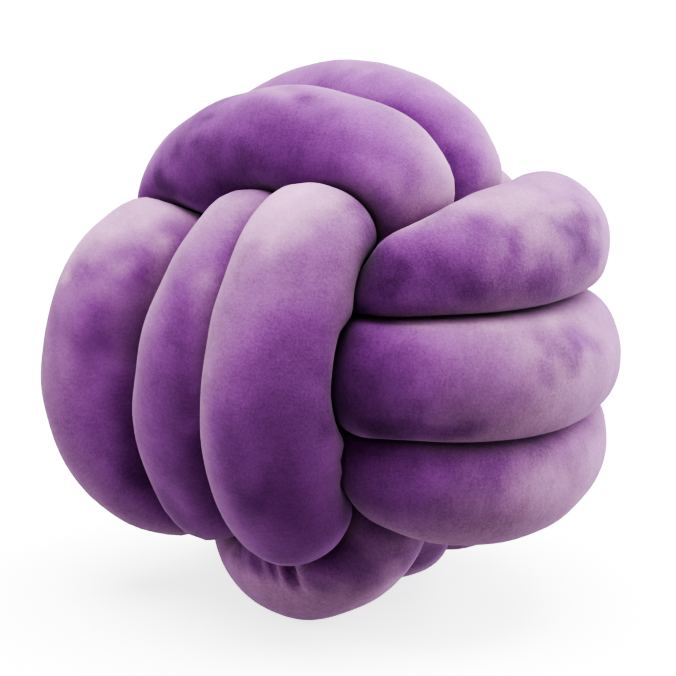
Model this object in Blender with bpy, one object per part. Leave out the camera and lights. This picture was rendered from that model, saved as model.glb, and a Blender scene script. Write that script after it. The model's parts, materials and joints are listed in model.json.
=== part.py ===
"""A knot cushion: one long stuffed tube wound into a ball.

The tube makes three turns one way, three turns round those, and three more through both, so that
six sets of three passes lie side by side over the ball and dive under one another at the edges.
The work below is in millimetres about the ball's middle. The last step turns it into metres, with
the ball standing on its flattened underside.
"""

import math

import bpy
import numpy as np

# The tube.
CORE_RADIUS = 33.0      # the tube where it runs through the ball's inside
END_LENGTH = 30.0       # how far back from each tip the round end begins
OUTER_GAP = 0.9         # how far each pass stays back from where it would touch the next one
INNER_GAP = 3.0         # the same in the middle of the ball
CONTACT_EDGE = 8.0      # the higher, the sharper the edge between round cloth and pressed cloth
BEND_SHARE = 0.82       # share of a bend's own radius that the inner side of the tube may use

# Where the ball stands.
GROUND = -130.0         # height of the flat underside from the ball's middle

# How the tube runs through the ball's inside.
FACE_YAW = math.radians(-50)    # heading of the left-hand set of upright passes
SIDE_SPACING = 22.0     # between neighbouring passes, across their set
SIDE_OFFSET = 38.0      # from the ball's middle, along the run of the set
SIDE_START = 26.0       # how far out towards the set's face the inside stretch begins
EASING = 6.0            # how far each bend is rounded off

# How the hidden stretches settle: they push one another apart and pull themselves straight.
SETTLING_ROUNDS = 120
SETTLING_STEP = 8.0     # between the points that are moved
ROOM = 32.0             # passes nearer to each other than this push apart
PUSH = 0.25             # share of the missing room that one round makes
PULL = 0.30             # share of the way to its neighbours' middle that one round moves a point
PASS_END_FREEDOM = 0.4  # how freely a pass that is held moves where it dives

# The mesh.
SIDES = 16              # corners round the tube
OUTER_STEP = 13.5       # between rings on the outside of the ball
INNER_STEP = 21.0       # between rings in the middle of the ball
MOST_TURN = 0.45        # most that one ring turns from the next, in radians
INNER_REACH = 45.0      # nearer the middle than this, inner values hold
OUTER_REACH = 80.0      # farther out than this, outer values hold
TIP_RINGS = (2.5, 9.0)  # extra rings this far from each tip
SAMPLE_STEP = 4.0       # between the points of the route that rings are kept clear of
OWN_STRETCH = 8.0       # a ring ignores this much of the route on each side of it
NEAR_STRETCH = 70.0     # up to this far along, the route counts as the same bend
FAR_STRETCH = 120.0     # and beyond this, as another pass

# Each pass is half an ellipse over the ball. Azimuth 0 is towards the front and 90 is to the
# right; angles are in degrees. Reach is how far out its crown lies, half_run and depth are the
# ellipse's two radii, turn swings its run about the crown, lean tips the ellipse sideways, and
# pitch drops its starting end. The tube's radius goes from radius at the crown to end_radius
# where the pass dives. Freedom is how far the crown may shift as the tube settles.
PASS_COLUMNS = ("name", "azimuth", "elevation", "reach", "turn", "half_run", "depth",
                "lean", "pitch", "radius", "end_radius", "freedom")
PASSES = (
    ("front_1", -89.5, -20.5, 114.5, -1, 57, 55, 8.5, -7.5, 38.5, 33, 0.1),
    ("front_2", -46.5, -5.5, 83.5, -19.5, 79, 54, -12, 2, 35.5, 35, 0),
    ("front_3", -13.5, -1, 105, -5, 79, 62.5, -20.5, 1, 36.5, 30, 0),
    ("back_1", 170, -6, 102, 0, 42, 42, 0, 0, 36, 31, 0.5),
    ("back_2", 134, -5, 106, 0, 42, 44, 0, 0, 36, 31, 0.5),
    ("back_3", 101, -10, 100, 0, 41, 42, 0, 0, 36, 31, 0.5),
    ("right_1", 55.5, 27.5, 120.5, 11, 60, 38, -14.5, -2, 35, 28.5, 0),
    ("right_2", 50, 1, 113, -2.5, 62, 40, -10.5, 1.5, 38, 38, 0),
    ("right_3", 54, -24, 116, -3, 61, 40, 0, 0, 37, 32, 0),
    ("left_1", -142, 24, 106, 0, 50, 42, 0, 0, 36, 31, 0.5),
    ("left_2", -142, -6, 108, 0, 50, 42, 0, 0, 36, 31, 0.5),
    ("left_3", -142, -36, 106, 0, 48, 42, 0, 0, 36, 31, 0.5),
    ("top_1", -43.5, 67.5, 101, 9.5, 75, 53.5, -9, 12.5, 36.5, 30.5, 0),
    ("top_2", 168, 77, 103, -2, 85, 50, 0, -4, 38, 34, 0),
    ("top_3", 155, 30, 92, 0, 49, 42, 0, -13, 34, 31, 0.1),
    ("bottom_1", -18, -67, 106, 1.5, 35, 38.5, -1, -1.5, 37.5, 33, 0),
    ("bottom_2", 143.5, -74, 103, 0, 48.5, 44.5, 1, -0.5, 36, 31.5, 0.05),
    ("bottom_3", 141, -50, 107, 0, 48, 40, 0, 0, 36, 31, 0.4),
)

# Each set of turns: its passes on the near and far face, the way it sets off, which side of the
# stack its three turns take, and the points it runs through on its way to the next set.
TURN_COLUMNS = ("face", "run", "stack", "near", "far", "sense", "slots", "leads_on")
TURNS = (
    ("front", "up", "right",
     ("front_1", "front_2", "front_3"), ("back_1", "back_2", "back_3"),
     1, (-1, 0, 1), (8, -6, -12)),
    ("right", "front", "up",
     ("right_1", "right_2", "right_3"), ("left_1", "left_2", "left_3"),
     -1, (1, 0, -1), (-10, 6, 4)),
    ("up", "right", "front",
     ("top_1", "top_2", "top_3"), ("bottom_1", "bottom_2", "bottom_3"),
     1, (1, 0, -1), (4, 14, 14)),
)
FIRST_TIP = (-4, -14, -14)

# The angles at which points are taken along each pass, from its crown.
PASS_ANGLES = np.radians([-95, -70, -45, -22, 0, 22, 45, 70, 95])

BALL_AXES = {
    "front": np.array([math.sin(FACE_YAW), -math.cos(FACE_YAW), 0.0]),
    "right": np.array([math.cos(FACE_YAW), math.sin(FACE_YAW), 0.0]),
    "up": np.array([0.0, 0.0, 1.0]),
}


def unit(vector):
    return vector / np.linalg.norm(vector)


def heading(azimuth, elevation):
    """The outward direction at an azimuth and elevation given in degrees."""
    azimuth, elevation = math.radians(azimuth), math.radians(elevation)
    flat = math.cos(elevation)
    return np.array([math.sin(azimuth) * flat, -math.cos(azimuth) * flat, math.sin(elevation)])


def pass_points(row, run, sense):
    """Points along one pass: half an ellipse whose crown lies out along the row's direction."""
    outward = heading(row["azimuth"], row["elevation"])
    along = unit(run - outward * (run @ outward))
    across = np.cross(outward, along)
    turn = math.radians(row["turn"])
    along = unit(along * math.cos(turn) + across * math.sin(turn))
    lean = math.radians(row["lean"])
    rise = outward * math.cos(lean) + np.cross(along, outward) * math.sin(lean)
    centre = outward * row["reach"] - rise * row["depth"]
    along = along * sense
    pitch = math.radians(row["pitch"])
    forward = along * math.cos(pitch) + rise * sense * math.sin(pitch)
    rise = rise * math.cos(pitch) - along * sense * math.sin(pitch)
    return (centre + np.outer(np.cos(PASS_ANGLES), rise) * row["depth"]
            + np.outer(np.sin(PASS_ANGLES), forward) * row["half_run"])


def route_points():
    """The points the tube's middle line runs through, its radius at each and how free each is."""
    passes = {row[0]: dict(zip(PASS_COLUMNS, row)) for row in PASSES}
    points, radii, freedom = [FIRST_TIP], [CORE_RADIUS], [1.0]

    def inside(out, forward, stacked):
        points.append(face * out + run * forward + stack * stacked)
        radii.append(CORE_RADIUS)
        freedom.append(1.0)

    def over(name, sense):
        row = passes[name]
        dive = np.sin(PASS_ANGLES) ** 4
        points.extend(pass_points(row, run, sense))
        radii.extend(row["radius"] + (row["end_radius"] - row["radius"]) * dive)
        freedom.extend(row["freedom"] + (PASS_END_FREEDOM - row["freedom"]) * dive ** 2)

    for values in TURNS:
        turn = dict(zip(TURN_COLUMNS, values))
        face, run, stack = (BALL_AXES[turn[key]] for key in ("face", "run", "stack"))
        sense, offset = turn["sense"], turn["sense"] * SIDE_OFFSET
        slots = [slot * SIDE_SPACING for slot in turn["slots"]]
        inside(SIDE_START, -offset, slots[0])
        for step, slot in enumerate(slots):
            over(turn["near"][step], sense)
            inside(SIDE_START, offset, slot)
            inside(-SIDE_START, offset, slot)
            over(turn["far"][step], -sense)
            inside(-SIDE_START, -offset, slot)
            if step + 1 < len(slots):
                inside(SIDE_START, -offset, slots[step + 1])
        points.append(turn["leads_on"])
        radii.append(CORE_RADIUS)
        freedom.append(1.0)
    return np.array(points, float), np.array(radii, float), np.array(freedom, float)


def curve_through(points, per_gap=14):
    """A smooth curve through the points, with per_gap places in each gap between two of them."""
    padded = np.vstack([2 * points[0] - points[1], points, 2 * points[-1] - points[-2]])
    pieces = []
    for first in range(len(points) - 1):
        p0, p1, p2, p3 = padded[first:first + 4]
        t1 = np.linalg.norm(p1 - p0) ** 0.5
        t2 = t1 + np.linalg.norm(p2 - p1) ** 0.5
        t3 = t2 + np.linalg.norm(p3 - p2) ** 0.5
        t = np.linspace(t1, t2, per_gap, endpoint=False)[:, None]
        a1 = (t1 - t) / t1 * p0 + t / t1 * p1
        a2 = (t2 - t) / (t2 - t1) * p1 + (t - t1) / (t2 - t1) * p2
        a3 = (t3 - t) / (t3 - t2) * p2 + (t - t2) / (t3 - t2) * p3
        b1 = (t2 - t) / t2 * a1 + t / t2 * a2
        b2 = (t3 - t) / (t3 - t1) * a2 + (t - t1) / (t3 - t1) * a3
        pieces.append((t2 - t) / (t2 - t1) * b1 + (t - t1) / (t2 - t1) * b2)
    return np.vstack(pieces + [points[-1:]])


def lengths_along(line):
    return np.concatenate([[0.0], np.cumsum(np.linalg.norm(np.diff(line, axis=0), axis=1))])


def at_lengths(line, along, wanted):
    return np.stack([np.interp(wanted, along, line[:, axis]) for axis in range(3)], axis=1)


def eased(line, step):
    """The line with each bend rounded off, its two ends left where they are."""
    half = int(3 * EASING / step) + 1
    weights = np.exp(-0.5 * (np.arange(-half, half + 1) * step / EASING) ** 2)
    weights /= weights.sum()
    before = 2 * line[0] - line[half:0:-1]
    after = 2 * line[-1] - line[-2:-half - 2:-1]
    padded = np.vstack([before, line, after])
    return np.stack([np.convolve(padded[:, axis], weights, "valid") for axis in range(3)], axis=1)


def noticed(stretch):
    """How far two places on the tube press on each other, by the length of tube between them."""
    share = np.clip((stretch - NEAR_STRETCH) / (FAR_STRETCH - NEAR_STRETCH), 0, 1)
    return share * share * (3 - 2 * share)


def settled(line, along, freedom):
    """The line after its free stretches have made room for one another."""
    presses = noticed(np.abs(along[:, None] - along))
    for _ in range(SETTLING_ROUNDS):
        apart = line[:, None] - line
        distance = np.sqrt((apart ** 2).sum(axis=2)) + 1e-6
        missing = np.clip(ROOM - distance, 0, None) * presses
        weight = missing / (missing.sum(axis=1, keepdims=True) + 1e-6)
        move = (apart / distance[:, :, None] * (missing * weight)[:, :, None]).sum(axis=1) * PUSH
        move[1:-1] += ((line[2:] + line[:-2]) / 2 - line[1:-1]) * PULL
        line = line + move * freedom[:, None]
    return line


def middle_line(step):
    """The tube's middle line at even steps, the radius at each place and the length up to it."""
    points, radii, freedom = route_points()
    curve = curve_through(points)
    along = lengths_along(curve)
    wanted = np.linspace(0, along[-1], int(along[-1] / SETTLING_STEP) + 1)
    point_places = np.interp(np.linspace(0, len(curve) - 1, len(points)), np.arange(len(curve)), along)
    line = at_lengths(curve, along, wanted)
    line = settled(line, wanted, np.interp(wanted, point_places, freedom))
    radius = np.interp(wanted, point_places, radii)
    along = lengths_along(line)
    even = np.linspace(0, along[-1], int(along[-1] / step) + 1)
    line, radius = eased(at_lengths(line, along, even), even[1]), np.interp(even, along, radius)
    return line, radius, lengths_along(line)


def by_depth(points, inner, outer):
    """A value for each point: inner in the middle of the ball, outer on its outside."""
    return np.interp(np.linalg.norm(points, axis=1), [INNER_REACH, OUTER_REACH], [inner, outer])


def ring_places(line, along, bend):
    """Lengths along the line at which rings are set, closest where it shows and where it bends."""
    curl = np.linalg.norm(bend, axis=1)
    step = np.minimum(by_depth(line, INNER_STEP, OUTER_STEP), MOST_TURN / (curl + 1e-6))
    count = np.concatenate([[0.0], np.cumsum(np.diff(along) / ((step[1:] + step[:-1]) / 2))])
    even = np.interp(np.linspace(0, count[-1], int(count[-1]) + 1), count, along)
    near_tips = np.concatenate([TIP_RINGS, along[-1] - np.array(TIP_RINGS)])
    return np.sort(np.concatenate([even, near_tips]))


def carried_frames(line, along, places):
    """Two directions across the tube at each place, carried along it without twist."""
    tangents = at_lengths(np.gradient(line, along, axis=0), along, places)
    sideways = np.array([0.3, 0.5, 0.8])
    firsts = []
    for tangent in tangents:
        sideways = unit(sideways - tangent * (sideways @ tangent) / (tangent @ tangent))
        firsts.append(sideways)
    firsts = np.array(firsts)
    seconds = np.cross(tangents, firsts)
    return firsts, seconds / np.linalg.norm(seconds, axis=1)[:, None]


def tube_mesh():
    """Corners and faces of the wound tube, each pass pressed flat where it meets another."""
    line, line_radius, along = middle_line(SAMPLE_STEP)
    bend = np.gradient(np.gradient(line, along, axis=0), along, axis=0)
    places = ring_places(line, along, bend)
    centres = at_lengths(line, along, places)
    radii = np.interp(places, along, line_radius)
    curls = at_lengths(bend, along, places)
    firsts, seconds = carried_frames(line, along, places)
    gaps = by_depth(centres, INNER_GAP, OUTER_GAP)
    angles = 2 * math.pi * np.arange(SIDES) / SIDES
    corners = []
    for place, centre, radius, gap, first, second, curl in zip(
            places, centres, radii, gaps, firsts, seconds, curls):
        ways = np.outer(np.cos(angles), first) + np.outer(np.sin(angles), second)
        # No farther than half way to any other place on the line, a wide pass taking more from a
        # narrow one. On the inner side of a bend this stops short of the bend's own centre.
        apart = line - centre
        stretch = np.abs(along - place)
        other_pass = noticed(stretch)
        share = (apart ** 2).sum(axis=1) + (radius ** 2 - line_radius ** 2) * other_pass
        weight = np.where(stretch < OWN_STRETCH, 0.0, other_pass + (1 - other_pass) / BEND_SHARE)
        pressed = (2 * (ways @ apart.T) / np.maximum(share, 1.0) * weight).max(axis=1)
        pressed = np.maximum(pressed, ways @ curl / BEND_SHARE)
        tip = min(place, along[-1] - place) / END_LENGTH
        narrowing = math.sqrt(max(0.0, 1 - (1 - min(tip, 1.0)) ** 2))
        free = (1 / radius) ** CONTACT_EDGE
        reach = (free + np.maximum(pressed, 0) ** CONTACT_EDGE) ** (-1 / CONTACT_EDGE)
        corners.append(centre + ways * ((reach - gap) * narrowing)[:, None])
    corners = np.vstack([centres[:1]] + corners[1:-1] + [centres[-1:]])
    corners[:, 2] = np.maximum(corners[:, 2], GROUND)
    rings = len(centres) - 2
    last = len(corners) - 1
    faces = []
    for side in range(SIDES):
        after = (side + 1) % SIDES
        faces.append((0, 1 + after, 1 + side))
        for ring in range(rings - 1):
            start = 1 + ring * SIDES
            faces.append((start + side, start + after, start + SIDES + after, start + SIDES + side))
        start = 1 + (rings - 1) * SIDES
        faces.append((last, start + side, start + after))
    return corners, faces


def cloth_material():
    material = bpy.data.materials.new("purple_plush")
    material.use_nodes = True
    shader = material.node_tree.nodes["Principled BSDF"]
    shader.inputs["Base Color"].default_value = (0.19, 0.05, 0.29, 1)
    shader.inputs["Roughness"].default_value = 0.9
    return material


def add_tube():
    """The whole cushion: one wound tube, standing on the ground with the ball's box centred."""
    corners, faces = tube_mesh()
    low, high = corners.min(axis=0), corners.max(axis=0)
    corners = corners - [(low[0] + high[0]) / 2, (low[1] + high[1]) / 2, low[2]]
    mesh = bpy.data.meshes.new("knot_tube")
    mesh.from_pydata((corners / 1000).tolist(), [], faces)
    mesh.update()
    tube = bpy.data.objects.new("knot_tube", mesh)
    bpy.context.collection.objects.link(tube)
    tube.data.materials.append(cloth_material())
    tube.data.polygons.foreach_set("use_smooth", [True] * len(tube.data.polygons))
    return tube


for thing in list(bpy.data.objects):
    bpy.data.objects.remove(thing)
add_tube()
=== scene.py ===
# %% [markdown]
# # A knot cushion
#
# The cushion is one long tube of purple plush, stuffed and tied into a ball. This lesson dresses
# it in cells: the camera and the light first, then the way the tube runs, the cloth, the filling
# that swells it, the folds that a hand would find in it, and the plush itself.
#
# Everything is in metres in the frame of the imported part, which stands on the ground at z = 0.

# %% Load the part
import math

import bpy
import numpy as np
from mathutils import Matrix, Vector
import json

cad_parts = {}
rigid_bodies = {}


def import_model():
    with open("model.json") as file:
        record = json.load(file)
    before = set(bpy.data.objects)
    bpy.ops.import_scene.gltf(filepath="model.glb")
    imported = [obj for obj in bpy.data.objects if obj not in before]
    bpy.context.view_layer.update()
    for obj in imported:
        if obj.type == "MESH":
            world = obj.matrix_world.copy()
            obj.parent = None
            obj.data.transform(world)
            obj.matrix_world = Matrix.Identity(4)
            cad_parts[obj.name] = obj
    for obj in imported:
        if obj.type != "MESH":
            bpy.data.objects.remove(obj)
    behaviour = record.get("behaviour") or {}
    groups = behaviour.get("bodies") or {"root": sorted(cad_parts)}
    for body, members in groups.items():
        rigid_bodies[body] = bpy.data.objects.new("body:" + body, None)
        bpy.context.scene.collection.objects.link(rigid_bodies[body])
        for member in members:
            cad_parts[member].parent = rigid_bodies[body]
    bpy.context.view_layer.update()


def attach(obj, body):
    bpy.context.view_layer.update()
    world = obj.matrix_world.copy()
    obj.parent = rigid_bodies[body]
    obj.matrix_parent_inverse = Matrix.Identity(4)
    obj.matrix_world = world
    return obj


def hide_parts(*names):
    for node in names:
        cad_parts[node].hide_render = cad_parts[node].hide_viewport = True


for thing in list(bpy.data.objects):
    bpy.data.objects.remove(thing)
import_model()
bpy.ops.object.select_all(action="DESELECT")

# %% [markdown]
# ## The camera
#
# The photograph looks down on the ball a little, from a good distance, so it shows hardly any
# perspective. A lens of 100 mm on a 36 mm wide sensor sees the same. The camera looks at a point
# close to the ball's middle, which is also where the tube's route is measured from below.

# %% Camera
BALL_MIDDLE = Vector((0.0028, 0.0030, 0.130))
LOOK_AT = BALL_MIDDLE + Vector((0.0025, 0, 0))
LOOK_DOWN = math.radians(12)
CAMERA_DISTANCE = 0.940
SENSOR_WIDTH = 36.0
VIEW_ANGLE = math.radians(20.4)

bpy.ops.object.camera_add()
camera = bpy.context.object
camera.name = "photo_camera"
back = Vector((0, -math.cos(LOOK_DOWN), math.sin(LOOK_DOWN)))
camera.location = LOOK_AT + back * CAMERA_DISTANCE
camera.rotation_euler = (-back).to_track_quat("-Z", "Y").to_euler()
camera.data.sensor_width = SENSOR_WIDTH
camera.data.lens = SENSOR_WIDTH / 2 / math.tan(VIEW_ANGLE / 2)
bpy.context.scene.camera = camera
print("lens:", round(camera.data.lens, 1), "mm")

# %% [markdown]
# ## One way to add a node
#
# Materials and the world are built from shader nodes. Adding one by hand is always the same
# three steps: add it, set its fields, and link what feeds it. One small function does that. A
# second one fills in a node's sockets, and a third turns the hex colours that painters and web
# pages use into the linear values that a shader works in.

# %% Helpers for nodes and colours
def linear(hex_colour):
    """A sRGB hex colour as linear red, green, blue and alpha."""
    parts = [int(hex_colour[place:place + 2], 16) / 255 for place in (1, 3, 5)]
    return [v / 12.92 if v <= 0.04045 else ((v + 0.055) / 1.055) ** 2.4 for v in parts] + [1.0]


def fill_sockets(node, values):
    """Sets the sockets of a node, by name or by number."""
    for socket, value in values.items():
        node.inputs[socket].default_value = value


def add_node(tree, kind, settings=None, values=None, **links):
    """Adds a node, with its fields, its sockets and what feeds them. n0 and n1 are sockets 0 and 1."""
    node = tree.nodes.new(kind)
    for field, value in (settings or {}).items():
        setattr(node, field, value)
    fill_sockets(node, values or {})
    for socket, source in links.items():
        place = int(socket[1:]) if socket[0] == "n" and socket[1:].isdigit() else socket
        tree.links.new(source, node.inputs[place])
    return node


print("a mid grey, linear:", round(linear("#808080")[0], 3))

# %% [markdown]
# ## The floor and the light
#
# The photograph was taken in a white studio, with everything round the ball burnt out to white.
# A wide pale floor under strong light does the same, and keeps the soft shadow where the ball
# stands. The sweep of a studio has lamps of its own, which a little glow in its paint stands for.
# The floor reaches far back, so its far edge lies above the picture.
#
# The light is soft. The strongest softboxes stand straight above and behind the right side, a
# weaker one at the left, and faint fills at the upper right, in front and low at the right. The
# fronts of the passes get hardly any light of their own, which is why each one is darkest in its
# middle and pale along its top. A sun lamp with a wide angle is the same as a softbox for
# something this small. A weak one from below stands for what the white sweep throws back up. The
# brightness of each lamp was fitted to the photograph, with one render of the ball for each.

# %% Floor
FLOOR_SIZE = 40.0
FLOOR_GLOW = 1.2

bpy.ops.mesh.primitive_plane_add(size=FLOOR_SIZE)
floor = bpy.context.object
floor.name = "studio_floor"
floor.visible_diffuse = False
floor.visible_shadow = False
paint = bpy.data.materials.new("matt_studio_paint")
paint.use_nodes = True
fill_sockets(paint.node_tree.nodes["Principled BSDF"],
             {"Base Color": linear("#F4F3F4"), "Roughness": 0.9,
              "Emission Color": linear("#FFFFFF"), "Emission Strength": FLOOR_GLOW})
floor.data.materials.append(paint)
print("floor:", FLOOR_SIZE, "m square")

# %% Lights
SOFTBOX_ANGLE = math.radians(60)
SOFTBOX_DISTANCE = 1.5  # only where its symbol stands, because a sun lamp is equally bright anywhere
SKY_GLOW = 0.02
SOFTBOXES = (
    # name, the way to it from the ball, brightness of a white wall that faces it
    ("top_softbox", (0.0, 0.0, 1.0), 2.75),
    ("top_right_softbox", (0.6, -0.1, 0.8), 0.72),
    ("right_rim_softbox", (0.85, 0.5, 0.2), 3.08),
    ("left_softbox", (-1.0, -0.1, 0.25), 1.07),
    ("front_fill_above", (0.0, -0.6, 0.8), 0.29),
    ("front_fill", (0.0, -1.0, 0.25), 0.21),
    ("low_right_fill", (1.0, -0.1, -0.3), 0.35),
    ("sweep_bounce", (0.0, -0.2, -1.0), 0.50),
)
for name, way, brightness in SOFTBOXES:
    bpy.ops.object.light_add(type="SUN", location=BALL_MIDDLE + Vector(way) * SOFTBOX_DISTANCE)
    lamp = bpy.context.object
    lamp.name = name
    lamp.data.angle = SOFTBOX_ANGLE
    lamp.data.energy = brightness * math.pi
    lamp.rotation_euler = Vector(way).to_track_quat("Z", "Y").to_euler()

world = bpy.data.worlds.new("white_studio")
bpy.context.scene.world = world
world.use_nodes = True
fill_sockets(world.node_tree.nodes["Background"], {"Color": linear("#FFFFFF"), "Strength": SKY_GLOW})
bpy.context.scene.view_settings.view_transform = "AgX"
bpy.context.scene.view_settings.look = "AgX - High Contrast"
print("lamps:", len(SOFTBOXES))

# %% [markdown]
# ## The way the tube runs
#
# A real knot cushion of this kind starts as a stuffed tube a good five metres long. It is wound
# three turns one way, three turns round those, and three more through both. So each of the ball's
# six sides shows three passes side by side, and each set dives under the next one at its ends.
#
# It could be drawn as a curve with a round bevel, but then the passes would cut through each
# other where they touch. Here the middle line is worked out first, from a short table with a row
# for each pass, and the cloth is then put round it so that passes that touch press each other
# flat. The same table and steps made the part's own solid, so the cloth lies where the solid is.
# These cells work in millimetres from the ball's middle, with azimuth 0 towards the front.

# %% Passes
PASS_COLUMNS = ("azimuth", "elevation", "reach", "turn", "half_run", "depth",
                "lean", "pitch", "radius", "end_radius", "freedom")
PASSES = {
    "front_1": (-89.5, -20.5, 114.5, -1, 57, 55, 8.5, -7.5, 38.5, 33, 0.1),
    "front_2": (-46.5, -5.5, 83.5, -19.5, 79, 54, -12, 2, 35.5, 35, 0),
    "front_3": (-13.5, -1, 105, -5, 79, 62.5, -20.5, 1, 36.5, 30, 0),
    "back_1": (170, -6, 102, 0, 42, 42, 0, 0, 36, 31, 0.5),
    "back_2": (134, -5, 106, 0, 42, 44, 0, 0, 36, 31, 0.5),
    "back_3": (101, -10, 100, 0, 41, 42, 0, 0, 36, 31, 0.5),
    "right_1": (55.5, 27.5, 120.5, 11, 60, 38, -14.5, -2, 35, 28.5, 0),
    "right_2": (50, 1, 113, -2.5, 62, 40, -10.5, 1.5, 38, 38, 0),
    "right_3": (54, -24, 116, -3, 61, 40, 0, 0, 37, 32, 0),
    "left_1": (-142, 24, 106, 0, 50, 42, 0, 0, 36, 31, 0.5),
    "left_2": (-142, -6, 108, 0, 50, 42, 0, 0, 36, 31, 0.5),
    "left_3": (-142, -36, 106, 0, 48, 42, 0, 0, 36, 31, 0.5),
    "top_1": (-43.5, 67.5, 101, 9.5, 75, 53.5, -9, 12.5, 36.5, 30.5, 0),
    "top_2": (168, 77, 103, -2, 85, 50, 0, -4, 38, 34, 0),
    "top_3": (155, 30, 92, 0, 49, 42, 0, -13, 34, 31, 0.1),
    "bottom_1": (-18, -67, 106, 1.5, 35, 38.5, -1, -1.5, 37.5, 33, 0),
    "bottom_2": (143.5, -74, 103, 0, 48.5, 44.5, 1, -0.5, 36, 31.5, 0.05),
    "bottom_3": (141, -50, 107, 0, 48, 40, 0, 0, 36, 31, 0.4),
}
TURNS = (
    # face, run, stack, near passes, far passes, sense, slots across the stack, where it leads on
    ("front", "up", "right", ("front_1", "front_2", "front_3"),
     ("back_1", "back_2", "back_3"), 1, (-1, 0, 1), (8, -6, -12)),
    ("right", "front", "up", ("right_1", "right_2", "right_3"),
     ("left_1", "left_2", "left_3"), -1, (1, 0, -1), (-10, 6, 4)),
    ("up", "right", "front", ("top_1", "top_2", "top_3"),
     ("bottom_1", "bottom_2", "bottom_3"), 1, (1, 0, -1), (4, 14, 14)),
)
FIRST_TIP = (-4, -14, -14)
INSIDE_RADIUS = 33.0
FACE_YAW = math.radians(-50)
BALL_AXES = {
    "front": np.array([math.sin(FACE_YAW), -math.cos(FACE_YAW), 0.0]),
    "right": np.array([math.cos(FACE_YAW), math.sin(FACE_YAW), 0.0]),
    "up": np.array([0.0, 0.0, 1.0]),
}
print("passes:", len(PASSES))

# %% [markdown]
# Each pass is half an ellipse that stands out from the ball: `reach` is how far out its crown
# lies, `half_run` and `depth` are the ellipse's two radii, `turn` swings its run about the crown,
# `lean` tips the ellipse sideways and `pitch` drops the end where it starts. The tube's `radius`
# shrinks to `end_radius` where it dives, because the passes over it squeeze it. `freedom` is how
# far a pass may still shift when the inside settles.
#
# Most of the passes that the photograph shows were fitted to their edges in it, and their numbers
# rounded to half a millimetre and half a degree. The others were placed one by one. Those that it hides
# follow the same knot, evenly spaced.

# %% Points along a pass
PASS_ANGLES = np.radians([-95, -70, -45, -22, 0, 22, 45, 70, 95])


def heading(azimuth, elevation):
    """The way from the ball's middle to a place on it, for angles in degrees."""
    azimuth, elevation = math.radians(azimuth), math.radians(elevation)
    flat = math.cos(elevation)
    return np.array([math.sin(azimuth) * flat, -math.cos(azimuth) * flat, math.sin(elevation)])


def pass_points(row, run, sense):
    """Points along one pass. run is the way its set runs, and sense 1 along it or -1 back."""
    outward = heading(row["azimuth"], row["elevation"])
    along = run - outward * (run @ outward)
    along = along / np.linalg.norm(along)
    turn, lean, pitch = (math.radians(row[key]) for key in ("turn", "lean", "pitch"))
    along = along * math.cos(turn) + np.cross(outward, along) * math.sin(turn)
    rise = outward * math.cos(lean) + np.cross(along, outward) * math.sin(lean)
    centre = outward * row["reach"] - rise * row["depth"]
    along = along * sense
    forward = along * math.cos(pitch) + rise * sense * math.sin(pitch)
    rise = rise * math.cos(pitch) - along * sense * math.sin(pitch)
    return (centre + np.outer(np.cos(PASS_ANGLES), rise) * row["depth"]
            + np.outer(np.sin(PASS_ANGLES), forward) * row["half_run"])


print("points on each pass:", len(PASS_ANGLES))

# %% The whole route
SIDE_SPACING = 22.0     # between passes inside the ball, across their set
SIDE_OFFSET = 38.0      # from the ball's middle, along the run of the set
SIDE_START = 26.0       # how far out towards the set's face the inside stretch begins
PASS_END_FREEDOM = 0.4  # how freely a pass may shift where it dives

route, route_radii, route_freedom, crowns = [FIRST_TIP], [INSIDE_RADIUS], [1.0], {}
for face_name, run_name, stack_name, near, far, sense, slots, leads_on in TURNS:
    face, run, stack = BALL_AXES[face_name], BALL_AXES[run_name], BALL_AXES[stack_name]
    ends = slots[1:] + (None,)
    stretches = [(SIDE_START, -sense, slots[0])]
    for near_name, far_name, slot, next_slot in zip(near, far, slots, ends):
        stretches += [(near_name, sense), (SIDE_START, sense, slot), (-SIDE_START, sense, slot),
                      (far_name, -sense), (-SIDE_START, -sense, slot)]
        if next_slot is not None:
            stretches.append((SIDE_START, -sense, next_slot))
    for stretch in stretches:
        if isinstance(stretch[0], str):
            row = dict(zip(PASS_COLUMNS, PASSES[stretch[0]]))
            dive = np.sin(PASS_ANGLES) ** 4
            crowns[stretch[0]] = len(route) + len(PASS_ANGLES) // 2
            route.extend(pass_points(row, run, stretch[1]))
            route_radii.extend(row["radius"] + (row["end_radius"] - row["radius"]) * dive)
            route_freedom.extend(row["freedom"] + (PASS_END_FREEDOM - row["freedom"]) * dive ** 2)
        else:
            out, side, slot = stretch
            route.append(face * out + run * side * SIDE_OFFSET + stack * slot * SIDE_SPACING)
            route_radii.append(INSIDE_RADIUS)
            route_freedom.append(1.0)
    route.append(np.array(leads_on, float))
    route_radii.append(INSIDE_RADIUS)
    route_freedom.append(1.0)
route = np.array(route, float)
print("points on the route:", len(route))

# %% [markdown]
# A smooth curve through those points is the tube's middle line. The stretches inside the ball
# then settle as filling does when a knot is pulled tight: in each round they push apart where
# they are closer than there is room for, and pull themselves straight.

# %% A smooth curve
PER_GAP = 14


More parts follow.
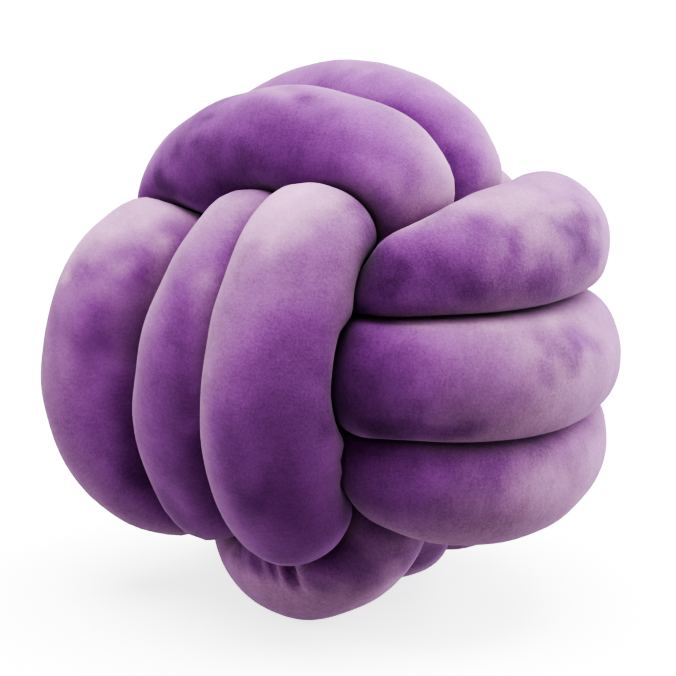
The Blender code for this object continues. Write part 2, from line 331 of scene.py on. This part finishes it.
def curve_through(points):
    """A smooth curve through the points, which doesn't overshoot where they are close together."""
    padded = np.vstack([2 * points[0] - points[1], points, 2 * points[-1] - points[-2]])
    pieces = []
    for first in range(len(points) - 1):
        p0, p1, p2, p3 = padded[first:first + 4]
        t1 = np.linalg.norm(p1 - p0) ** 0.5
        t2 = t1 + np.linalg.norm(p2 - p1) ** 0.5
        t3 = t2 + np.linalg.norm(p3 - p2) ** 0.5
        t = np.linspace(t1, t2, PER_GAP, endpoint=False)[:, None]
        a1 = (t1 - t) / t1 * p0 + t / t1 * p1
        a2 = (t2 - t) / (t2 - t1) * p1 + (t - t1) / (t2 - t1) * p2
        a3 = (t3 - t) / (t3 - t2) * p2 + (t - t2) / (t3 - t2) * p3
        b1 = (t2 - t) / t2 * a1 + t / t2 * a2
        b2 = (t3 - t) / (t3 - t1) * a2 + (t - t1) / (t3 - t1) * a3
        pieces.append((t2 - t) / (t2 - t1) * b1 + (t - t1) / (t2 - t1) * b2)
    return np.vstack(pieces + [points[-1:]])


def lengths_along(points):
    """How far along the curve each of its points lies."""
    return np.concatenate([[0.0], np.cumsum(np.linalg.norm(np.diff(points, axis=0), axis=1))])


def at_lengths(points, along, wanted):
    """The points of a curve at the wanted lengths along it."""
    return np.stack([np.interp(wanted, along, points[:, axis]) for axis in range(3)], axis=1)


curve = curve_through(route)
along = lengths_along(curve)
print("curve:", round(along[-1]), "mm long before it settles")

# %% Settle the inside
SETTLING_STEP = 8.0     # between the points that are moved
SETTLING_ROUNDS = 120
ROOM = 32.0             # passes nearer to each other than this push apart
PUSH, PULL = 0.25, 0.30
NEAR_STRETCH = 70.0     # up to this far along, a place on the route counts as the same bend
FAR_STRETCH = 120.0     # and beyond this, as another pass


def noticed(stretch):
    """How much two places this far apart along the tube count as different passes, from 0 to 1."""
    share = np.clip((stretch - NEAR_STRETCH) / (FAR_STRETCH - NEAR_STRETCH), 0, 1)
    return share * share * (3 - 2 * share)


wanted = np.linspace(0, along[-1], int(along[-1] / SETTLING_STEP) + 1)
point_places = along[::PER_GAP]
line = at_lengths(curve, along, wanted)
freedom = np.interp(wanted, point_places, route_freedom)[:, None]
line_radius = np.interp(wanted, point_places, route_radii)
crown_index = {name: np.argmin(np.abs(wanted - point_places[place])) for name, place in crowns.items()}
presses = noticed(np.abs(wanted[:, None] - wanted))
for _ in range(SETTLING_ROUNDS):
    apart = line[:, None] - line
    distance = np.sqrt((apart ** 2).sum(axis=2)) + 1e-6
    missing = np.clip(ROOM - distance, 0, None) * presses
    weight = missing / (missing.sum(axis=1, keepdims=True) + 1e-6)
    move = (apart / distance[:, :, None] * (missing * weight)[:, :, None]).sum(axis=1) * PUSH
    move[1:-1] += ((line[2:] + line[:-2]) / 2 - line[1:-1]) * PULL
    line = line + move * freedom
print("settled:", len(line), "points, the inside ones by up to",
      round(np.linalg.norm(line - at_lengths(curve, along, wanted), axis=1).max()), "mm")

# %% Even steps and soft bends
LINE_STEP = 3.0
EASING = 6.0            # how far each bend is rounded off

along = lengths_along(line)
crown_lengths = {name: along[place] for name, place in crown_index.items()}
even = np.linspace(0, along[-1], int(along[-1] / LINE_STEP) + 1)
line_radius = np.interp(even, along, line_radius)
line = at_lengths(line, along, even)
half = int(3 * EASING / even[1]) + 1
weights = np.exp(-0.5 * (np.arange(-half, half + 1) * even[1] / EASING) ** 2)
weights /= weights.sum()
padded = np.vstack([2 * line[0] - line[half:0:-1], line, 2 * line[-1] - line[-2:-half - 2:-1]])
line = np.stack([np.convolve(padded[:, axis], weights, "valid") for axis in range(3)], axis=1)
shrink = lengths_along(line)[-1] / even[-1]
along = lengths_along(line)
crown_lengths = {name: place * shrink for name, place in crown_lengths.items()}
print("tube:", round(along[-1]), "mm long")

# %% [markdown]
# ## The strip of plush
#
# A maker cuts a strip as long as the tube and as wide as its girth, and sews it into a tube. The
# mesh starts the same way, as a flat grid of that size with its own UV map, so that the pile can
# follow the cloth later. Each row across the strip then becomes a ring round the middle line.
#
# The rings are close together where the tube shows, closer still where it is folded, and far
# apart where it is hidden in the middle of the ball.

# %% Where the rings go
SIDES = 32
OUTER_STEP, INNER_STEP = 6.7, 18.0
INNER_REACH, OUTER_REACH = 45.0, 80.0   # how far out the inner step ends and the outer one begins
MOST_TURN = 0.38                        # most that one ring turns from the next, in radians
FOLDED = {"bottom_1": (32.0, 3.0)}      # pass: how far from its crown rings are this close
FOLD_FADE = 20.0                        # and how soon they are as far apart as elsewhere
NEAR_TIP = np.array([0.6, 2.2, 4.6, 7.5])   # the rings that round off each end


def by_depth(points, inner, outer):
    """The inner value deep inside the ball, the outer one near its surface, and a blend between."""
    return np.interp(np.linalg.norm(points, axis=1), [INNER_REACH, OUTER_REACH], [inner, outer])


bend = np.gradient(np.gradient(line, along, axis=0), along, axis=0)
step = np.minimum(by_depth(line, INNER_STEP, OUTER_STEP),
                  MOST_TURN / (np.linalg.norm(bend, axis=1) + 1e-6))
for name, (stretch, fold_step) in FOLDED.items():
    close = np.clip((np.abs(along - crown_lengths[name]) - stretch) / FOLD_FADE, 0, 1)
    step = np.minimum(step, fold_step + (OUTER_STEP - fold_step) * close)
count = np.concatenate([[0.0], np.cumsum(np.diff(along) / ((step[1:] + step[:-1]) / 2))])
places = np.interp(np.linspace(0, count[-1], int(count[-1]) + 1), count, along)
places = places[(places > NEAR_TIP[-1] + 1) & (places < along[-1] - NEAR_TIP[-1] - 1)]
places = np.concatenate([[0.0], NEAR_TIP, places, along[-1] - NEAR_TIP[::-1], [along[-1]]])
print("rings:", len(places))

# %% [markdown]
# Round each place on the middle line, the cloth reaches out to the tube's own radius or to just
# short of half way to whatever lies next to it, whichever is less. The two limits are blended,
# so that a pass stays round where it is free and is pressed flat where it meets another. The
# same rule stops the inner side of a tight bend before it folds through itself.
#
# The same two limits, blended much more softly, tell how pressed the cloth is: not at all where a pass
# is free, and fully where it is pressed. The plush is painted darker there, as painted shade in the
# creases, and the filling can't swell it.

# %% How far out each point of the cloth lies
OUTER_GAP, INNER_GAP = 0.45, 3.0
CONTACT_EDGE = 11.0     # the higher, the sharper the edge between round cloth and pressed cloth
BEND_SHARE = 0.82       # share of a bend's own radius that its inner side may use
OWN_STRETCH = 8.0       # a ring ignores this much of the line on each side of it
END_LENGTH = 30.0       # how far back from each tip the round end begins
GROUND = -130.0         # the flattened underside
CRUSH_EDGE, CRUSH_SHARE = 5.0, 0.15     # how softly the pressed share fades, and where it is full; it limits the slack and sets the painted crease shade
SLACK = 1.4             # how much too small the cloth is before the filling swells it
SEAM_SIDE = np.array([0.3, 0.5, 0.8])   # the side of the tube that its seam starts on

centres = at_lengths(line, along, places)
radii = np.interp(places, along, line_radius)
curls = at_lengths(bend, along, places)
tangents = at_lengths(np.gradient(line, along, axis=0), along, places)
gaps = by_depth(centres, INNER_GAP, OUTER_GAP)
angles = 2 * math.pi * np.arange(SIDES + 1) / SIDES
sideways = SEAM_SIDE
rings, pressed_and_crease_shade = [], []
for place, centre, radius, gap, curl, tangent in zip(places, centres, radii, gaps, curls, tangents):
    tangent = tangent / np.linalg.norm(tangent)
    sideways = sideways - tangent * (sideways @ tangent)
    sideways = sideways / np.linalg.norm(sideways)
    ways = np.outer(np.cos(angles), sideways) + np.outer(np.sin(angles), np.cross(tangent, sideways))
    apart = line - centre
    stretch = np.abs(along - place)
    other_pass = noticed(stretch)
    share = (apart ** 2).sum(axis=1) + (radius ** 2 - line_radius ** 2) * other_pass
    weight = np.where(stretch < OWN_STRETCH, 0.0, other_pass + (1 - other_pass) / BEND_SHARE)
    pressed = (2 * (ways @ apart.T) / np.maximum(share, 1.0) * weight).max(axis=1)
    pressed = np.maximum(np.maximum(pressed, ways @ curl / BEND_SHARE), 0)
    tip = min(place, along[-1] - place) / END_LENGTH
    narrowing = math.sqrt(max(0.0, 1 - (1 - min(tip, 1.0)) ** 2))
    reach = ((1 / radius) ** CONTACT_EDGE + pressed ** CONTACT_EDGE) ** (-1 / CONTACT_EDGE)
    soft_reach = ((1 / radius) ** CRUSH_EDGE + pressed ** CRUSH_EDGE) ** (-1 / CRUSH_EDGE)
    crush = np.clip((1 - soft_reach / radius) / CRUSH_SHARE, 0, 1)
    rings.append(centre + ways * ((reach - gap - SLACK * (1 - crush)) * narrowing)[:, None])
    pressed_and_crease_shade.append(crush)
rings = np.array(rings)
rings[:, -1] = rings[:, 0]
rings[..., 2] = np.maximum(rings[..., 2], GROUND)
print("points:", rings.shape[0] * rings.shape[1])

# %% [markdown]
# Now the flat strip is added, and its rows are moved into place. Merging by distance sews the
# long seam and draws the two ends together, as a maker's gathering thread does.

# %% Cut the strip, roll it and sew it
MILLIMETRE = 0.001
GIRTH = 2 * math.pi * 37 * MILLIMETRE   # of a tube 74 mm thick

bpy.ops.object.select_all(action="DESELECT")
bpy.ops.mesh.primitive_grid_add(x_subdivisions=SIDES, y_subdivisions=len(places) - 1, size=1)
tube = bpy.context.object
tube.name = "plush_tube"
strip = tube.data
strip.name = "plush_tube"
points = rings.reshape(-1, 3) * MILLIMETRE + np.array(BALL_MIDDLE)
lengthwise = np.repeat(places, SIDES + 1) * MILLIMETRE
crosswise = np.tile(np.linspace(0, GIRTH, SIDES + 1), len(places))
corner_points = np.zeros(len(strip.loops), dtype=np.int32)
strip.loops.foreach_get("vertex_index", corner_points)
strip.uv_layers[0].name = "cloth"
strip.uv_layers[0].data.foreach_set(
    "uv", np.stack([lengthwise, crosswise], axis=1)[corner_points].ravel())
strip.vertices.foreach_set("co", points.ravel())
lengths = strip.attributes.new("along_tube", "FLOAT", "POINT")
lengths.data.foreach_set("value", lengthwise)
pile_way = strip.attributes.new("pile_way", "FLOAT_VECTOR", "POINT")
pile_way.data.foreach_set("vector", np.repeat(tangents, SIDES + 1, axis=0).ravel())
crush_level = strip.attributes.new("pressed_and_crease_shade", "FLOAT", "POINT")
crush_level.data.foreach_set("value", np.array(pressed_and_crease_shade).ravel())
strip.update()

bpy.ops.object.mode_set(mode="EDIT")
bpy.ops.mesh.select_all(action="SELECT")
bpy.ops.mesh.remove_doubles(threshold=1e-6)
bpy.ops.mesh.select_all(action="SELECT")
bpy.ops.mesh.normals_make_consistent(inside=False)
bpy.ops.object.mode_set(mode="OBJECT")
print("sewn tube:", len(strip.vertices), "points,", len(strip.polygons), "faces")

# %% [markdown]
# ## The filling
#
# The real tube is stuffed until the plush is taut: the filling swells the free sides, and draws
# the cloth tight round each bend. A cloth simulation with air pressure inside the tube does that.
# Gravity is off, because the filling holds the shape. The passes don't know each other in the
# simulation, so afterwards each point's move is limited: a few millimetres where the cloth is
# free, and next to nothing where it is pressed against its neighbour.

# %% Read and write the points of a mesh
def read_points(mesh):
    """The places of a mesh's points, a row for each."""
    flat = np.zeros(len(mesh.vertices) * 3)
    mesh.vertices.foreach_get("co", flat)
    return flat.reshape(-1, 3)


def write_points(mesh, points):
    """Moves a mesh's points to these places."""
    mesh.vertices.foreach_set("co", points.ravel())
    mesh.update()


def read_ways(mesh):
    """The way out of the mesh at each of its points."""
    flat = np.zeros(len(mesh.vertices) * 3)
    mesh.vertices.foreach_get("normal", flat)
    return flat.reshape(-1, 3)


def read_level(mesh, name):
    """The value that each point holds under this name."""
    values = np.zeros(len(mesh.vertices))
    mesh.attributes[name].data.foreach_get("value", values)
    return values


print("top of the empty tube:", round(read_points(tube.data)[:, 2].max(), 4))

# %% Stuff the tube
LAST_FRAME = 20
FREE_SWELL, PRESSED_SWELL = 0.0026, 0.0002

before = read_points(tube.data)
crush = read_level(tube.data, "pressed_and_crease_shade")
stuffing = tube.modifiers.new("stuffing", "CLOTH")
stuffing.settings.quality = 6
stuffing.settings.mass = 0.01
stuffing.settings.tension_stiffness = stuffing.settings.compression_stiffness = 12
stuffing.settings.shear_stiffness = 6
stuffing.settings.bending_stiffness = 0.4
stuffing.settings.use_pressure = True
stuffing.settings.uniform_pressure_force = 4
stuffing.settings.effector_weights.gravity = 0
stuffing.collision_settings.use_collision = False
stuffing.point_cache.frame_end = LAST_FRAME
for moment in range(1, LAST_FRAME + 1):
    bpy.context.scene.frame_set(moment)
bpy.ops.object.modifier_apply(modifier=stuffing.name)
bpy.context.scene.frame_set(1)
swell = read_points(tube.data) - before
length = np.linalg.norm(swell, axis=1)
most = PRESSED_SWELL + (FREE_SWELL - PRESSED_SWELL) * (1 - crush)
swell *= (np.minimum(length, most) / np.maximum(length, 1e-9))[:, None]
after = before + swell
after[:, 2] = np.maximum(after[:, 2], 0)
write_points(tube.data, after)
kept = np.linalg.norm(swell, axis=1)
print("the filling moved it by up to", round(1000 * length.max(), 1), "mm, on average",
      round(1000 * length.mean(), 1), "mm, of which kept", round(1000 * kept.mean(), 1))

# %% [markdown]
# ## A finer mesh
#
# One level of subdivision rounds the rings off. It is applied, so that the folds below have
# enough points to work on.

# %% Subdivide
smoother = tube.modifiers.new("rounder", "SUBSURF")
smoother.levels = smoother.render_levels = 1
bpy.ops.object.modifier_apply(modifier=smoother.name)
bpy.ops.object.shade_smooth()
print("fine tube:", len(tube.data.vertices), "points")

# %% [markdown]
# ## Lumps, pleats and dents
#
# Loose filling is never quite even, so every pass has soft lumps. The tight turn at the bottom
# gathers the cloth into short pleats along its inner edge, the seam puckers the edge of the
# third upright pass, and thumbs have left a dent here and there. A hand would sculpt these. Here
# each one is a stroke from a point to a point, in millimetres from the ball's middle, with a
# radius and a push in or out. A stroke only touches its own pass.

# %% Strokes on a pass
PASS_REACH = 0.150      # a stroke acts this far along the tube from its pass's crown


def stroke_share(points, lengths, name, stroke, ragged=None):
    """How much each point lies under a stroke on a pass, from 0 to 1. ragged stretches its distances."""
    start, end, radius = stroke[:3]
    start, end = (np.array(place) * MILLIMETRE + np.array(BALL_MIDDLE) for place in (start, end))
    way = end - start
    share = np.clip((points - start) @ way / max(way @ way, 1e-12), 0, 1)
    distance = np.linalg.norm(points - start - share[:, None] * way, axis=1)
    own = np.abs(lengths - crown_lengths[name] * MILLIMETRE) < PASS_REACH
    if ragged is None:
        return np.exp(-(distance / (radius * MILLIMETRE)) ** 2) * own
    return np.exp(-(distance * ragged / (radius * MILLIMETRE)) ** 3) * own


print("passes that a stroke can lie on:", len(crown_lengths))

# %% Shape the folds
from mathutils import noise

LUMP_SIZE, LUMP_HEIGHT = 0.026, 0.0011
FOLDS = {
    # pass: strokes from, to, radius, push in (-) or out (+)
    "front_3": (
        ((4, -116, 26), (3, -114, 18), 6.0, -3.0),
        ((3, -112, -24), (3, -111, -28), 4.0, 1.4),
        ((3, -110, -35), (3, -109, -38), 4.0, 1.6),
        ((3, -110, -31), (3, -110, -32), 3.0, -1.2),
        ((4, -97, -52), (6, -95, -58), 6.0, 1.5),
        ((9, -86, -68), (10, -85, -75), 5.0, 1.8),
    ),
    "right_1": (
        ((108, -86, 74), (111, -80, 71), 8.0, -2.6),
        ((98, -89, 80), (118, -65, 78), 5.0, 1.1),
    ),
    "right_2": (
        ((110, -88, 22), (118, -74, 14), 7.0, -1.2),
    ),
    "top_1": (
        ((-20, -46, 129), (-16, -60, 126), 5.0, -1.6),
        ((-34, -40, 127), (-27, -55, 126), 6.0, 0.9),
    ),
    "bottom_1": (
        ((-46, -50, -96), (-43, -56, -103), 2.4, -2.0),
        ((-37, -62, -93), (-33, -70, -102), 2.4, -2.4),
        ((-28, -70, -94), (-27, -75, -104), 2.2, -2.2),
        ((-20, -76, -93), (-17, -79, -108), 2.2, -4.2),
        ((-41, -58, -95), (-38, -64, -102), 3.0, 1.2),
        ((-32, -68, -95), (-30, -73, -103), 3.0, 1.2),
        ((-24, -73, -94), (-22, -77, -105), 3.0, 1.4),
        ((-13, -77, -95), (-13, -80, -104), 3.5, 1.0),
    ),
}

points = read_points(tube.data)
lengths = read_level(tube.data, "along_tube")
free = 1 - read_level(tube.data, "pressed_and_crease_shade")
lumps = np.array([noise.noise(Vector(point) / LUMP_SIZE) for point in points])
push = lumps * LUMP_HEIGHT * free
for name, strokes in FOLDS.items():
    for stroke in strokes:
        push += stroke_share(points, lengths, name, stroke) * stroke[3] * MILLIMETRE
points += read_ways(tube.data) * push[:, None]
points[:, 2] = np.maximum(points[:, 2], 0)
write_points(tube.data, points)
print("pushed in by up to", round(-1000 * push.min(), 1), "mm, and out by up to",
      round(1000 * push.max(), 1), "mm")

# %% [markdown]
# ## Brushed pile, painted light and painted shade
#
# Every touch leaves a ragged mark on plush: where a hand has brushed the pile away from the eye,
# it shows its pale side, and where it lies towards the eye it looks deeper. The photograph shows
# the most such marks on the level passes.
#
# The marks are strokes as well, with ragged edges, and each point keeps their sum for the material. Not
# all of them are marks of a hand: many are painted light and painted shade, along creases and across
# whole flanks, which even out where this light and these folds leave a pass paler or deeper than it is
# in the photograph.

# %% Brush the pile, and paint light and shade
RAGGED_SIZE, RAGGED_SHARE = 0.011, 0.6  # size of the tatters, and how far they reach
BRUSH_MARKS_AND_PAINTED_LIGHT = {
    # pass: strokes from, to, radius, deeper (-) or paler (+), as brushed pile or as painted shade and
    # painted light
    "front_1": (
        ((-108, -40, 25), (-110, -38, -5), 24, 0.15),
        ((-97, -43, 30), (-97, -38, 0), 14, 0.26),
        ((-100, -34, 60), (-92, -30, 75), 22, 0.36),
        ((-86, -34, 74), (-72, -32, 76), 12, 0.22),
        ((-126, -18, 46), (-114, -20, 60), 10, 0.30),
        ((-80, -38, 50), (-82, -40, 38), 7, 0.35),
        ((-98, -40, 46), (-98, -40, 38), 9, -0.16),
        ((-80, -52, -72), (-74, -46, -82), 11, -0.26),
        ((-97, -37, -14), (-93, -35, -60), 11, -0.26),
    ),
    "front_2": (
        ((-80, -54, -70), (-76, -50, -80), 11, -0.26),
        ((-38, -68, 82), (-34, -70, 82), 8, -0.30),
        ((-54, -96, 46), (-60, -92, -22), 8, 0.40),
        ((-70, -92, 40), (-70, -92, 22), 8, -0.12),
    ),
    "front_3": (
        ((-38, -68, 82), (-34, -70, 82), 8, -0.30),
        ((-20, -107, 84), (-16, -95, 94), 18, 0.56),
        ((-6, -118, 66), (6, -108, 70), 14, -0.15),
        ((-18, -127, 60), (-18, -126, 55), 18, 0.10),
        ((-2, -123, 8), (-2, -122, -12), 7, -0.25),
        ((-48, -126, -12), (-38, -118, -50), 9, -0.20),
        ((10, -98, 78), (16, -102, 70), 8, -0.35),
        ((-10, -133, 28), (-10, -133, 20), 12, -0.08),
    ),
    "right_1": (
        ((20, -112, 62), (60, -118, 68), 20, -0.30),
        ((18, -118, 50), (17, -110, 58), 11, -0.34),
        ((56, -120, 50), (96, -102, 49), 8, -0.24),
        ((92, -100, 50), (114, -82, 52), 14, -0.34),
        ((103, -93, 72), (110, -84, 62), 9, -0.28),
        ((112, -76, 68), (117, -70, 56), 8, -0.34),
        ((52, -100, 78), (64, -102, 80), 8, -0.14),
        ((118, -66, 76), (120, -62, 70), 6, -0.20),
        ((106, -80, 84), (118, -68, 80), 14, -0.20),
        ((72, -100, 88), (92, -84, 89), 8, 0.18),
        ((98, -90, 80), (119, -64, 74), 3.5, 0.30),
        ((66, -112, 76), (74, -108, 72), 6, -0.15),
    ),
    "right_2": (
        ((12, -120, 22), (16, -124, -6), 17, -0.30),
        ((74, -124, 18), (80, -122, 2), 10, -0.10),
        ((34, -116, 33), (70, -112, 33), 6, 0.35),
        ((20, -124, -17), (60, -126, -17), 7, -0.34),
        ((40, -120, 38), (104, -92, 37), 7, 0.38),
        ((96, -108, 24), (108, -98, 12), 7, -0.32),
        ((108, -94, 22), (118, -78, 12), 6, -0.42),
        ((92, -112, 10), (95, -110, 4), 5, -0.25),
        ((58, -132, -4), (68, -131, 0), 2.5, 0.20),
        ((68, -131, 0), (70, -131, 6), 2.5, 0.15),
    ),
    "right_3": (
        ((16, -117, -30), (24, -120, -45), 22, -0.20),
        ((30, -118, -16), (64, -114, -16), 7, 0.25),
        ((72, -112, -32), (104, -86, -32), 10, -0.18),
        ((114, -70, -30), (120, -62, -30), 7, -0.18),
        ((60, -122, -30), (70, -118, -36), 12, -0.12),
        ((100, -96, -18), (112, -84, -40), 14, -0.12),
    ),
    "top_1": (
        ((34, -98, 82), (48, -80, 92), 20, 0.10),
        ((-30, -41, 128), (-22, -50, 128), 6, 0.15),
        ((-17, -54, 128), (-14, -58, 127), 5, -0.25),
        ((-62, -44, 112), (20, -64, 116), 14, -0.14),
        ((-90, -40, 78), (-60, -62, 92), 16, -0.30),
        ((-84, -16, 100), (-56, -16, 118), 12, -0.26),
        ((-30, -72, 104), (0, -80, 102), 12, -0.12),
        ((-8, -84, 98), (24, -88, 92), 9, 0.20),
        ((-92, -22, 72), (-86, -24, 74), 9, -0.30),
        ((-58, -30, 118), (-44, -34, 122), 8, -0.14),
        ((36, -92, 77), (56, -68, 82), 8, 0.30),
        ((-72, -36, 96), (-64, -40, 96), 12, -0.16),
    ),
    "top_2": (
        ((0, -8, 127), (22, -34, 122), 7, 0.15),
        ((58, -62, 96), (62, -64, 90), 8, -0.22),
        ((-24, -16, 131), (-2, -8, 135), 13, -0.24),
        ((4, 0, 135), (14, -10, 134), 7, 0.15),
        ((60, -45, 112), (70, -48, 98), 12, -0.08),
    ),
    "bottom_1": (
        ((-44, -52, -92), (-28, -68, -94), 9, -0.38),
        ((34, -74, -90), (42, -70, -86), 9, -0.40),
        ((-4, -80, -88), (14, -80, -92), 12, -0.34),
    ),
    "bottom_2": (
        ((36, -30, -110), (52, -32, -104), 14, -0.40),
    ),
}

# Each point sums brush marks together with painted light and painted shade.
ragged = 1 + RAGGED_SHARE * np.array([noise.noise(Vector(point) / RAGGED_SIZE) for point in points])
brush_and_painted_light = np.zeros(len(points))
for name, strokes in BRUSH_MARKS_AND_PAINTED_LIGHT.items():
    for stroke in strokes:
        brush_and_painted_light += stroke_share(points, lengths, name, stroke, ragged) * stroke[3]
brushed_and_painted_light = tube.data.attributes.new("brushed_and_painted_light", "FLOAT", "POINT")
brushed_and_painted_light.data.foreach_set("value", brush_and_painted_light)
print("brushed points:", int((np.abs(brush_and_painted_light) > 0.05).sum()))

# %% [markdown]
# ## The plush
#
# The cover is short-pile polyester plush: a knitted back with a dense pile about 1.5 mm long, all
# combed one way along the strip. Polyester has an IOR of about 1.5, and the pile scatters so much
# that the surface has no gloss.
#
# Looked at down into its pile, plush shows the deep dye between the fibres. Looked at from the
# side, or where the pile leans away from the eye, it shows the pale sides and tips of the fibres.
# That is the sheen of plush, and it moves with the eye. Here it is painted sheen in the base colour: the
# deep dye and two paler colours of painted sheen, and Layer Weight picks between them by how squarely
# the surface is seen, with the way that the surface faces first leant over along the pile. The shader's
# own sheen adds a trace of light at the rims.

# %% Dye and painted sheen
DEEP_DYE, HALF_SHEEN_TINT, FULL_SHEEN_TINT = "#582A60", "#6E3D75", "#835F7F"
HALF_SHEEN_STOP = 0.4        # where between the deep dye and the full painted sheen the half painted sheen comes
PILE_LEAN = 0.8         # how far the pile leans along the strip, as a share of its height
SHEEN_SLANT_POWER = 0.61       # under 1, the painted sheen begins to show at a small slant

plush = bpy.data.materials.new("purple_polyester_plush")
plush.use_nodes = True
tree = plush.node_tree
shader = tree.nodes["Principled BSDF"]
fill_sockets(shader, {"Roughness": 1.0, "IOR": 1.5, "Specular IOR Level": 0.05,
                      "Sheen Weight": 0.06, "Sheen Roughness": 0.5})
pile = add_node(tree, "ShaderNodeAttribute", {"attribute_name": "pile_way"})
lean = add_node(tree, "ShaderNodeVectorMath", {"operation": "SCALE"}, {"Scale": PILE_LEAN},
                n0=pile.outputs["Vector"])
surface = add_node(tree, "ShaderNodeNewGeometry")
leant = add_node(tree, "ShaderNodeVectorMath", {"operation": "ADD"},
                 n0=lean.outputs[0], n1=surface.outputs["Normal"])
straight = add_node(tree, "ShaderNodeVectorMath", {"operation": "NORMALIZE"}, n0=leant.outputs[0])
# Painted sheen: how squarely the leant surface is seen picks the colour below.
seen = add_node(tree, "ShaderNodeLayerWeight", values={"Blend": 0.5}, Normal=straight.outputs[0])
sheen_share = add_node(tree, "ShaderNodeMath", {"operation": "POWER"}, {1: SHEEN_SLANT_POWER},
                n0=seen.outputs["Facing"])
print("dyes:", DEEP_DYE, HALF_SHEEN_TINT, FULL_SHEEN_TINT)

# %% [markdown]
# Plush is never one even tone. It is mottled where the pile stands more or less upright, it has a
# grain of tufts, and the rows of its knitted back part the pile in fine streaks across the strip.
# A single fibre is far too thin to show at half a millimetre to a pixel, so the tufts are drawn
# about a millimetre wide. Mottling and grain are solid patterns, so they run over the seam
# without a break. The streaks follow the strip's own UV map, and break at its seam.

# %% Mottling, tufts and streaks
MOTTLE_SIZE, MOTTLE_DEPTH = 0.018, 0.14
TUFT_SIZE, SPECKLE_DEPTH = 0.0011, 0.16
STREAK_LENGTH, STREAK_WIDTH, STREAK_DEPTH = 0.007, 0.0014, 0.05


def change_by(depth):
    """Map Range values that turn noise into a change of up to this much either way."""
    return {"From Min": 0.3, "From Max": 0.7, "To Min": -depth, "To Max": depth}


place = add_node(tree, "ShaderNodeTexCoord")
mottle = add_node(tree, "ShaderNodeTexNoise",
                  values={"Scale": 1 / MOTTLE_SIZE, "Detail": 4.0, "Roughness": 0.6},
                  Vector=place.outputs["Object"])
mottled = add_node(tree, "ShaderNodeMapRange", values=change_by(MOTTLE_DEPTH),
                   Value=mottle.outputs["Fac"])
grain = add_node(tree, "ShaderNodeTexNoise",
                 values={"Scale": 1 / TUFT_SIZE, "Detail": 2.0, "Roughness": 0.8},
                 Vector=place.outputs["Object"])
speckle = add_node(tree, "ShaderNodeMapRange", values=change_by(SPECKLE_DEPTH),
                   Value=grain.outputs["Fac"])
cloth = add_node(tree, "ShaderNodeUVMap", {"uv_map": "cloth"})
combed = add_node(tree, "ShaderNodeVectorMath", {"operation": "MULTIPLY"},
                  {1: (1 / STREAK_WIDTH, 1 / STREAK_LENGTH, 1.0)}, n0=cloth.outputs["UV"])
comb = add_node(tree, "ShaderNodeTexNoise", values={"Scale": 1.0, "Detail": 2.0},
                Vector=combed.outputs[0])
streaks = add_node(tree, "ShaderNodeMapRange", values=change_by(STREAK_DEPTH),
                   Value=comb.outputs["Fac"])
print("noise scales:", round(1 / MOTTLE_SIZE), "and", round(1 / TUFT_SIZE), "to a metre")

# %% [markdown]
# The brushed marks, with the painted light and painted shade among them, shift the choice between the
# deep dye and the painted sheen, and lighten or darken the result a little. The mottling, the tufts and
# the streaks only lighten and darken. Last comes painted shade in the creases, where the cloth is
# pressed. The tufts also stand up by half a millimetre, as bump, because they are too many to be
# geometry.

# %% Dye, painted sheen, painted crease shade and nap
BRUSH_GAIN = 0.8        # how much a brushed mark, painted light or painted shade also lightens or darkens
# Painted shade: a dark purple mixed into the creases by how pressed the cloth is.
CREASE_SHADE_COLOUR, CREASE_SHADE_DEPTH = "#2B1236", 0.08
TUFT_HEIGHT, NAP_STRENGTH = 0.0005, 0.30

# The brush marks and the painted light and shade shift the painted sheen and the brightness.
brush_and_light_mark = add_node(tree, "ShaderNodeAttribute", {"attribute_name": "brushed_and_painted_light"})
shifted = add_node(tree, "ShaderNodeMath", {"operation": "ADD"},
                   n0=sheen_share.outputs[0], n1=brush_and_light_mark.outputs["Fac"])
# Painted sheen: the ramp runs from the deep dye to two paler colours of painted sheen.
dye_and_sheen = add_node(tree, "ShaderNodeValToRGB", Fac=shifted.outputs[0])
stops = dye_and_sheen.color_ramp.elements
stops[0].color = linear(DEEP_DYE)
stops[1].color = linear(FULL_SHEEN_TINT)
stops.new(HALF_SHEEN_STOP).color = linear(HALF_SHEEN_TINT)
gain = add_node(tree, "ShaderNodeMath", {"operation": "MULTIPLY_ADD"}, {1: BRUSH_GAIN, 2: 1.0},
                n0=brush_and_light_mark.outputs["Fac"])
for change in (mottled, speckle, streaks):
    gain = add_node(tree, "ShaderNodeMath", {"operation": "ADD"},
                    n0=gain.outputs[0], n1=change.outputs[0])
dye_and_sheen = add_node(tree, "ShaderNodeVectorMath", {"operation": "SCALE"},
               n0=dye_and_sheen.outputs["Color"], Scale=gain.outputs[0])
# Painted shade: the creases are mixed towards a dark purple by how pressed the cloth is.
crease_shade_mask = add_node(tree, "ShaderNodeAttribute", {"attribute_name": "pressed_and_crease_shade"})
shade = add_node(tree, "ShaderNodeMath", {"operation": "MULTIPLY"}, {1: CREASE_SHADE_DEPTH},
                 n0=crease_shade_mask.outputs["Fac"])
cover = add_node(tree, "ShaderNodeMix", {"data_type": "RGBA"}, {"B": linear(CREASE_SHADE_COLOUR)},
                 Factor=shade.outputs[0], A=dye_and_sheen.outputs[0])
tree.links.new(cover.outputs["Result"], shader.inputs["Base Color"])
nap = add_node(tree, "ShaderNodeBump", values={"Strength": NAP_STRENGTH, "Distance": TUFT_HEIGHT},
               Height=grain.outputs["Fac"])
tree.links.new(nap.outputs["Normal"], shader.inputs["Normal"])
tube.data.materials.clear()
tube.data.materials.append(plush)
print("plush nodes:", len(tree.nodes))

# %% [markdown]
# ## Hand over
#
# The tube rides on the part's one body and stands for its one node.

import json

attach(tube, "root")
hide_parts("knot_tube")
